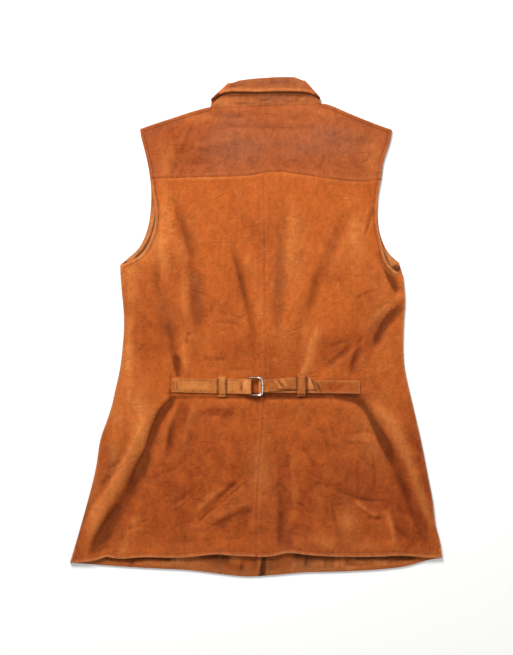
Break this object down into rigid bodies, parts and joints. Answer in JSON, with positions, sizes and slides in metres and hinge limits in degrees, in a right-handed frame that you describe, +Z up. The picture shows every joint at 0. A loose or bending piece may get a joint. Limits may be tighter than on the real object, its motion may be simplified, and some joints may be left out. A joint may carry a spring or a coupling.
{
  "type": "leather vest",
  "caption": "Long sleeveless suede vest laid flat, face down, with a folded collar, a back yoke and a half belt fastened through two D-rings.",
  "frame": {"origin": "on the surface the vest lies on, under the middle of its outline", "axes": "+X to the wearer's right, +Y to the collar, +Z up, out of the back"},
  "size_m": [0.5952, 0.7999, 0.0141],
  "materials": {
    "suede_back": "orange-brown suede with a short nap, darker in the folds",
    "suede_yoke": "orange-brown suede, a little duller and pinker",
    "suede_front": "inside of the fronts, brown suede with a turned-up hem",
    "suede_strap": "lighter tan suede with stitched edges",
    "nickel": "nickel-plated wire, a little worn"
  },
  "bodies": {
    "root": {"back_yoke": "suede_yoke", "back_panel_left": "suede_back", "back_panel_right": "suede_back", "front_side_left": "suede_front", "front_center_left": "suede_front", "front_center_right": "suede_front", "front_side_right": "suede_front", "collar_stand": "suede_yoke", "collar_leaf": "suede_yoke", "belt_strap_left": "suede_strap", "belt_strap_right": "suede_strap", "belt_loop_left": "suede_strap", "belt_loop_right": "suede_strap", "d_ring_lower": "nickel", "d_ring_upper": "nickel"}
  },
  "joints": []
}
